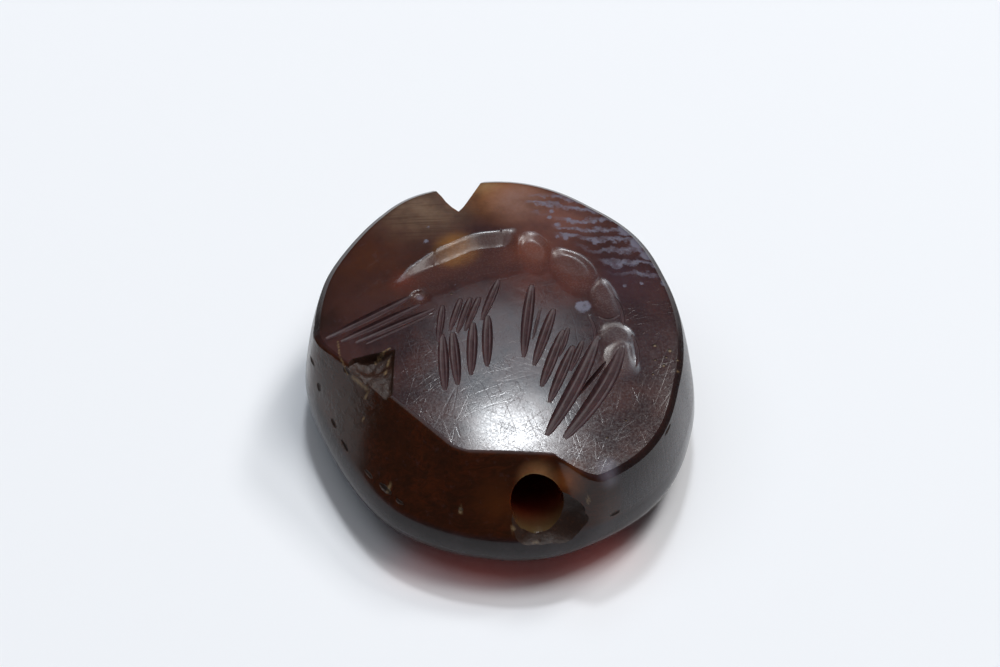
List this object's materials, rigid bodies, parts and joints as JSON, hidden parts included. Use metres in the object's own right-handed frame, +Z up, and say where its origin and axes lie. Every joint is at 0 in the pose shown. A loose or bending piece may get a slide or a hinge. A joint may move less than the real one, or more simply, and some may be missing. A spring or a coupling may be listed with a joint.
{
  "type": "lens-shaped engraved stamp seal",
  "caption": "Lens-shaped hardstone stamp seal with a string hole, ground facets, a broken rim and an engraved arched animal on its gently domed face.",
  "frame": {"origin": "on the resting surface, under the middle of the stone's outline", "axes": "+Z up, out of the engraved face; +Y along the string hole, towards its broken end; +X across the string hole, to the right when the near mouth faces the viewer"},
  "size_m": [0.0178, 0.0198, 0.0068],
  "materials": {
    "banded_agate": "polished translucent banded agate, brown to red-brown with blue-white wavy bands, worn and finely scratched"
  },
  "bodies": {
    "root": {"seal_stone": "banded_agate"}
  },
  "joints": []
}
